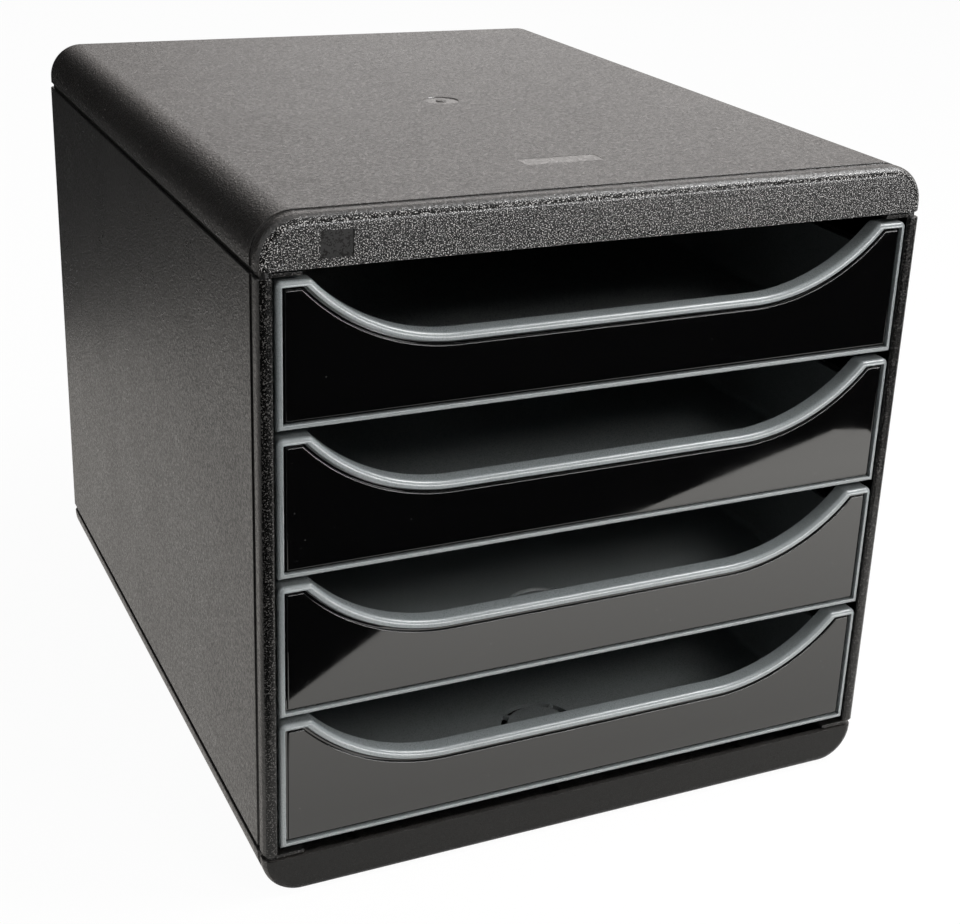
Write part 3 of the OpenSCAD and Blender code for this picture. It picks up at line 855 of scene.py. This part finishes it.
class CABINET_OT_sides(bpy.types.Operator):
    """Builds the two side panels with their runners"""

    bl_idname = "cabinet.sides"
    bl_label = "Side panels"

    def execute(self, context):
        finish = context.scene.cabinet_finish
        black, grain = finish.panel, finish.panel_grain
        body = grained_plastic(
            "black_panel_plastic", black, finish.panel_painted_glints, grain, depth=0.0004, roughness=0.38
        )
        # the bars' grain carries painted shade and painted glints
        front = fascia_plastic("black_panel_front_plastic", black, finish.bar_painted_glints, grain, gloss=0.2)
        shells = side_shells(context.scene.cabinet_panel)
        right = make_piece("right_panel", shells, body)
        left = make_piece("left_panel", [mirrored(shell) for shell in shells], body)
        for piece, node in ((right, "right_side"), (left, "left_side")):
            face_forward(piece, front)
            hand_over(piece, node)
        return {"FINISHED"}


class CABINET_OT_back(bpy.types.Operator):
    """Builds the back panel"""

    bl_idname = "cabinet.back"
    bl_label = "Back panel"

    def execute(self, context):
        finish = context.scene.cabinet_finish
        grain = finish.panel_grain * 1.5
        material = grained_plastic(
            "black_back_plastic", finish.panel, finish.panel_painted_glints, grain, depth=0.00025, roughness=0.5
        )
        low, high = BACK
        outline = rounded(rectangle(low.x, high.x, low.z, high.z), 0.001, 4)
        plate = prism(outline, low.y, high.y, 0.0004, "Y")
        hand_over(make_piece("back_plate", [plate], material), "back_panel")
        return {"FINISHED"}


# Drawers

def front_outline(d, rim=0.0, lip=0.0):
    """Outline of a front, counter-clockwise from its lower left, set in by rim at the frame
    and by lip along the swoop. The swoop is a flat middle between two arcs whose centres
    stand one radius above it. An arc of radius R ends at the shoulder, where R times the
    cosine of its angle is the height from the shoulder to the centre."""
    swoop = d.swoop_radius + lip
    centre_v = d.height - d.swoop_depth + d.swoop_radius
    full = math.acos((d.swoop_radius - d.swoop_depth) / d.swoop_radius)
    centre_u = d.half - d.shoulder - d.swoop_radius * math.sin(full)
    top = d.height - rim
    half = d.half - rim
    a = np.linspace(math.acos((centre_v - top) / swoop), 0, 30)
    arc = np.stack([centre_u + swoop * np.sin(a), centre_v - swoop * np.cos(a)], 1)
    left = (arc * (-1, 1))[::-1]
    corners = np.concatenate([[(-half, rim), (half, rim), (half, top)], arc, left, [(-half, top)]])
    radii = np.zeros(len(corners))
    radii[[2, -1]] = max(d.corner - rim, d.inner_corner)
    radii[[3, -2]] = max(d.shoulder_turn - lip, d.inner_corner)
    return rounded(corners, radii, 10)


def front_skin(d, rims, lips, depths, joined=False):
    """A skin over rings of a front's outline, each with its own two insets and its depth."""
    flat = np.stack([front_outline(d, rim, lip) for rim, lip in zip(rims, lips)])
    return skin(on_axis(flat, np.asarray(depths)[:, None], "Y"), joined)


def frame_shell(d):
    """The frame's section carried round the front: a quarter circle from the outer face to
    the front, a flat, a small inner rounding, and straight back to the rear."""
    falls, grows = quarter(d.rim_round, 10)
    inner_falls, inner_grows = quarter(d.inner_round, 3)
    outer = np.concatenate([[0.0], grows])
    rims = np.concatenate([outer, d.rim - inner_falls, [d.rim]])
    lips = np.concatenate([outer, d.lip - inner_falls, [d.lip]])
    depths = np.concatenate([[d.depth], falls, inner_grows, [d.depth]])
    return front_skin(d, rims, lips, depths, joined=True)


def backing_shell(d):
    """The wall behind the insert, its edges inside the frame."""
    front = d.insert_set + d.insert
    inside = d.rim - 0.001
    return front_skin(d, [inside] * 2, [inside] * 2, [front, front + d.backing])


def tray_shells(d):
    """The tray: a wall section carried round three sides, a floor with the ring's slots, the
    sliding flanges and the stop lugs."""
    front = d.insert_set + d.insert + d.backing
    low = d.tray_rise
    mid = d.tray_rise + d.tray_floor
    high = d.tray_rise + d.tray_height
    half, rear, r = d.tray_half, d.tray_depth, d.tray_corner
    start = front - 0.0005  # a little inside the wall behind the insert
    corners = [(half, start), (half, rear), (0, rear), (-half, rear), (-half, start)]
    ring = rounded(corners, [0, r, 0, r, 0], 12)
    path = np.roll(ring, -int(np.argmin(np.abs(ring - corners[0]).sum(1))), 0)
    wall, fillet = d.tray_wall, d.tray_fillet
    falls, grows = quarter(0.0004, 3)
    in_falls, in_grows = quarter(fillet, 6)
    section = np.concatenate([
        [(wall + fillet, low)],
        np.stack([falls, low + grows], 1),
        np.stack([grows, high - falls], 1),
        np.stack([wall - falls, high - grows], 1),
        np.stack([wall + in_grows, mid + in_falls], 1),
    ])
    rings = on_axis(shifted(path, section[:, 0], closed=False), section[:, 1][:, None], "Z")
    walls = skin(np.swapaxes(rings, 0, 1))
    floor = ring_floor(d, shifted(path, [wall + fillet], closed=False)[0], low, mid)
    shells = [walls, floor]
    slide = rectangle(half - SINK, half + d.slide_width, d.depth - SINK, d.slide_rear)
    start, stop = d.lug_place, d.lug_place + d.lug_length
    root, reach = d.half - 0.001, d.lug_reach
    ramp = start + d.lug_length / 3
    lug = [(root, start), (reach, start), (reach, ramp), (d.half, stop), (root, stop)]
    edge = 0.0003
    for outline in (rounded(slide, 0.0004, 4), rounded(lug, edge, 3)):
        part = prism(outline, d.slide_rise, d.slide_rise + d.slide, edge)
        shells += [part, mirrored(part)]
    return shells


def ring_floor(d, path, low, high):
    """Floor of the tray: a disc, four bridges and a collar on a polar grid about the ring's
    centre, and two flat halves from the collar to the walls."""
    count = 144
    angle = np.arange(count) * 2 * math.pi / count + math.pi / 2
    inner, outer = d.ring - d.ring_slot / 2, d.ring + d.ring_slot / 2
    radii = np.array([inner, outer, outer + 0.003])[:, None]
    grid = np.stack([radii * np.cos(angle), d.ring_place + radii * np.sin(angle)], -1)
    ids = np.arange(3 * count).reshape(3, count)
    following = np.roll(ids, -1, 1)
    middle = angle + math.pi / count
    bridge = np.abs(middle % (math.pi / 2) - math.pi / 4) * d.ring < d.ring_bridge / 2
    slots, rim = (np.stack([ids[k], ids[k + 1], following[k + 1], following[k]], -1) for k in (0, 1))
    faces = [ids[0].tolist(), *slots[bridge].tolist(), *rim.tolist()]
    # the path runs from the right front over the rear to the left front
    flat = np.concatenate([grid.reshape(-1, 2), path, [(0.0, path[0, 1])]])
    first = 3 * count
    rear = first + int(np.argmin(np.abs(path[:, 0]) + np.where(path[:, 1] > 0.1, 0, 1)))
    last, front = first + len(path) - 1, first + len(path)
    collar = ids[2]
    half = count // 2
    faces.append([*range(rear, last + 1), front, *collar[half::-1].tolist()])
    faces.append([front, *range(first, rear + 1), int(collar[0]), *collar[:half - 1:-1].tolist()])
    return thick_plate(flat, faces, low, high)


def insert_shell(d):
    """The gloss insert: its edge set in from the frame, a narrow ledge, and a raised face
    with a rounded edge."""
    back = d.insert_set + d.insert
    step, small = d.insert_step, 0.0001
    ledge = d.insert_set + step
    falls, grows = quarter(d.insert_round, 4)
    insets = np.concatenate([[0, 0, small, step], step + grows])
    depths = np.concatenate([[back, ledge + small, ledge, ledge], d.insert_set + falls])
    rims = d.rim + d.insert_gap + insets
    return front_skin(d, rims, d.lip + d.insert_lip_gap + insets, depths)


def one_per_drawer(name, shells, material, node_name):
    """The same shells at the height of each drawer, for the nodes of that number."""
    for k, drawer in enumerate(DRAWERS, 1):
        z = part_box(drawer)[0].z
        piece = make_piece(f"{name}_{k}", [moved(shell, z) for shell in shells], material)
        hand_over(piece, f"{node_name}_{k}")


class CABINET_OT_drawers(bpy.types.Operator):
    """Builds the four trays with their fronts"""

    bl_idname = "cabinet.drawers"
    bl_label = "Drawers"

    def execute(self, context):
        d = context.scene.cabinet_drawer
        material = satin_plastic("blue_grey_tray_plastic", context.scene.cabinet_finish.tray)
        shells = [frame_shell(d), backing_shell(d), *tray_shells(d)]
        one_per_drawer("tray", shells, material, "drawer")
        return {"FINISHED"}


class CABINET_OT_inserts(bpy.types.Operator):
    """Builds the four gloss inserts"""

    bl_idname = "cabinet.inserts"
    bl_label = "Front inserts"

    def execute(self, context):
        d = context.scene.cabinet_drawer
        material = gloss_plastic("gloss_black_plastic", context.scene.cabinet_finish.insert)
        one_per_drawer("insert", [insert_shell(d)], material, "front_insert")
        return {"FINISHED"}


class CABINET_OT_feet(bpy.types.Operator):
    """Builds the four rubber feet"""

    bl_idname = "cabinet.feet"
    bl_label = "Feet"

    def execute(self, context):
        material = rubber("foot_rubber", context.scene.cabinet_finish.rubber)
        falls, grows = quarter(0.0004, 5)
        for node in FEET:
            x, y, r, tread, seat = foot_place(node)
            hollow = [(r * 0.55, tread + 0.0003), (r * 0.6, tread)]
            edge = np.stack([r - falls, tread + grows], 1)
            profile = np.concatenate([hollow, edge, [(r, seat)]])
            pad = make_piece(node + "_pad", [turned(profile, x, y)], material)
            hand_over(pad, node)
        return {"FINISHED"}


# Stage

def area_lamp(name, place, width, height, power):
    """A soft lamp aimed at the cabinet, which the camera doesn't see."""
    light = bpy.data.lights.new(name, "AREA")
    light.shape = "RECTANGLE"
    light.size = width
    light.size_y = height
    light.energy = power
    aim = Vector((0, 0, 0.13))
    lamp = bpy.data.objects.new(name, light)
    bpy.context.scene.collection.objects.link(lamp)
    lamp.location = place
    lamp.rotation_euler = (aim - Vector(place)).to_track_quat("-Z", "Y").to_euler()
    lamp.visible_camera = False
    return lamp


def stage_piece(name, shell, material):
    """A mesh that belongs to the stage."""
    piece = make_piece(name, [shell], material)
    return piece


def pale_floor():
    """A wide pale disc. The camera sees it almost as plain white, and the rest of it keeps
    the shadow."""
    f = Finish("pale_floor")
    f.put("Roughness", 0.9)
    f.put("Specular IOR Level", 0.1)
    f.shader.inputs["Base Color"].default_value = (0.86, 0.86, 0.86, 1)
    white = f.add("ShaderNodeEmission", Strength=1.0).outputs["Emission"]
    seen = f.add("ShaderNodeLightPath").outputs["Is Camera Ray"]
    part = f.math("MULTIPLY", seen, 0.965)
    f.join(f.layered(part, f.shader.outputs["BSDF"], white), f.surface)
    disc = thick_plate(circle(0, 0, 8.0, 96), [list(range(96))], -0.02, 0.0)
    stage_piece("floor", disc, f.material)


def room(ambient):
    """A world that lights the pieces evenly, and is white to camera, gloss and glass."""
    world = bpy.data.worlds.new("studio")
    bpy.context.scene.world = world
    world.use_nodes = True
    nodes = Nodes(world.node_tree)
    dim = nodes.tree.nodes["Background"]
    dim.inputs["Color"].default_value = (1, 1, 1, 1)
    dim.inputs["Strength"].default_value = ambient
    bright = nodes.add("ShaderNodeBackground", Color=(1, 1, 1, 1), Strength=1.0)
    rays = nodes.add("ShaderNodeLightPath").outputs
    seen = nodes.math("MAXIMUM", rays["Is Camera Ray"], rays["Is Glossy Ray"])
    seen = nodes.math("MAXIMUM", seen, rays["Is Transmission Ray"])
    mixed = nodes.layered(seen, dim.outputs["Background"], bright.outputs["Background"])
    nodes.join(mixed, nodes.tree.nodes["World Output"].inputs["Surface"])


def glowing_face(name, points, rgb=(1, 1, 1), near=(0.0, 0.0), far=None, axis="Y"):
    """One flat face that only shows in the gloss of the pieces. Its light goes evenly along
    an axis, from one (place, strength) to another, or is the same all over."""
    f = Finish(name)
    glow = f.add("ShaderNodeEmission", Strength=near[1])
    glow.inputs["Color"].default_value = (*rgb, 1)
    if far:
        split = f.add("ShaderNodeSeparateXYZ")
        f.join(f.place, split.inputs["Vector"])
        graded = f.spread(split.outputs[axis], near[0], far[0], near[1], far[1])
        f.join(graded, glow.inputs["Strength"])
    f.join(glow.outputs["Emission"], f.surface)
    piece = stage_piece(name, (points, [list(range(len(points)))]), f.material)
    for key in ("camera", "diffuse", "shadow", "transmission", "volume_scatter"):
        setattr(piece, "visible_" + key, False)


def card(name, outline, height, *light):
    """A level card with an outline, at a height."""
    glowing_face(name, on_axis(np.asarray(outline), height, "Z"), *light)


def upright(name, x0, x1, y, z1, *light):
    """A card that stands on the floor, across the stage at y."""
    glowing_face(name, on_axis(rectangle(x0, x1, 0.0, z1), y, "Y"), *light)


def reflections():
    """A lit sheet on the floor in front, and dark cards round it, as in a studio."""
    left = [(-0.38, -0.178), (-0.3, -0.21), (-0.16, -0.26)]
    edge = [(-0.085, -0.31), (0.0, -0.372), (0.12, -0.416), (0.25, -0.464), (0.37, -0.508)]
    corner = [(0.392, -0.5), (0.386, -0.46), (0.38, -0.28), (0.38, -0.178)]
    sheet = left + edge + corner
    card("lit_sheet", sheet, 0.0006, (1, 0.98, 0.94), (-0.46, 2.7), (-0.22, 1.5))
    card("dark_floor_card", sheet + [(3, -0.178), (3, -3), (-3, -3), (-3, -0.178)], 0.0004)
    beside = rectangle(-1.4, -0.1365, -0.178, 0.52)
    card("lit_left_sheet", beside, 0.0006, (1, 0.96, 0.91), (0.0, 0.84))
    beyond = rectangle(-4.0, -0.16, 0.52, 1.6)
    card("dark_left_card", beyond, 0.0005, (1, 1, 1), (0.0, 0.04))
    upright("dark_rear_card", -4.0, -0.08, 1.6, 2.6)
    upright("dark_front_card", -6.0, 6.0, -3.2, 3.0)
    upright("grey_rear_card", -0.08, 6.0, 2.2, 3.5, (1, 0.935, 0.9), (0.45, 0.36), (1.15, 1.15), "Z")


class CABINET_OT_stage(bpy.types.Operator):
    """Sets floor, lamps, room light and camera"""

    bl_idname = "cabinet.stage"
    bl_label = "Stage"

    def execute(self, context):
        s = context.scene.cabinet_stage
        context.scene.view_settings.view_transform = "Standard"
        pale_floor()
        reflections()
        room(s.ambient)

        area_lamp("top_lamp", (0.9, -0.35, 1.3), 0.8, 0.6, s.top_power)
        area_lamp("rear_lamp", (0.9, 1.9, 0.9), 1.5, 0.9, s.rear_power)
        strip = area_lamp("front_lamp", (0.85, -1.8, 0.21), 1.2, 0.2, s.front_power)
        strip.visible_diffuse = False
        low = area_lamp("low_lamp", (0.85, -1.7, 0.25), 0.7, 0.4, s.low_power)
        low.visible_glossy = False
        high = area_lamp("high_lamp", (0.55, -1.3, 1.1), 0.7, 0.4, s.high_power)
        high.data.color = (1.0, 0.96, 0.93)
        high.visible_glossy = False
        area_lamp("left_lamp", (-1.6, -0.6, 0.7), 0.6, 0.6, s.fill_power)
        self.set_camera(context.scene, s)
        return {"FINISHED"}

    def set_camera(self, scene, s):
        """The camera as solved from the photo: its place, and what is right and ahead of it."""
        camera = bpy.data.cameras.new("camera")
        camera.lens = s.lens
        camera.sensor_width = 36
        camera.shift_y = s.shift
        camera.clip_start = 0.01
        eye = bpy.data.objects.new("camera", camera)
        scene.collection.objects.link(eye)
        right = Vector((0.9096, -0.4140, 0.0356)).normalized()
        ahead = Vector((0.3974, 0.8418, -0.3652)).normalized()
        up = right.cross(ahead).normalized()
        right = ahead.cross(up)
        turn = Matrix((right, up, -ahead)).transposed()
        eye.matrix_world = Matrix.Translation((-0.3019, -0.6998, 0.4270)) @ turn.to_4x4()
        scene.camera = eye


class CABINET_PT_panel(bpy.types.Panel):
    bl_label = "Desk cabinet"
    bl_idname = "CABINET_PT_panel"
    bl_space_type = "VIEW_3D"
    bl_region_type = "UI"
    bl_category = "Cabinet"

    def draw(self, context):
        layout = self.layout
        for step, _ in STEPS:
            layout.operator(step.bl_idname)
        for _, group in STEPS:
            if group:
                settings = getattr(context.scene, group)
                box = layout.box()
                for key in settings.bl_rna.properties.keys():
                    if key not in ("rna_type", "name"):
                        box.prop(settings, key)


STEPS = (
    (CABINET_OT_shells, "cabinet_shell"),
    (CABINET_OT_sides, "cabinet_panel"),
    (CABINET_OT_back, None),
    (CABINET_OT_drawers, "cabinet_drawer"),
    (CABINET_OT_inserts, "cabinet_finish"),
    (CABINET_OT_feet, None),
    (CABINET_OT_stage, "cabinet_stage"),
)
GROUPS = {
    "cabinet_shell": CABINET_PG_shell,
    "cabinet_panel": CABINET_PG_panel,
    "cabinet_drawer": CABINET_PG_drawer,
    "cabinet_finish": CABINET_PG_finish,
    "cabinet_stage": CABINET_PG_stage,
}
CLASSES = (*GROUPS.values(), *(step for step, _ in STEPS), CABINET_PT_panel)


def register():
    for kind in CLASSES:
        bpy.utils.register_class(kind)
    for key, kind in GROUPS.items():
        setattr(bpy.types.Scene, key, bpy.props.PointerProperty(type=kind))


def unregister():
    for key in GROUPS:
        delattr(bpy.types.Scene, key)
    for kind in reversed(CLASSES):
        bpy.utils.unregister_class(kind)


def run(step):
    """Calls one operator by its name, and stops where it doesn't finish."""
    group, name = step.bl_idname.split(".")
    if getattr(getattr(bpy.ops, group), name)() != {"FINISHED"}:
        raise RuntimeError(f"{step.bl_idname} didn't finish")


def main():
    register()
    for step, _ in STEPS:
        run(step)


if __name__ == "__main__":
    main()
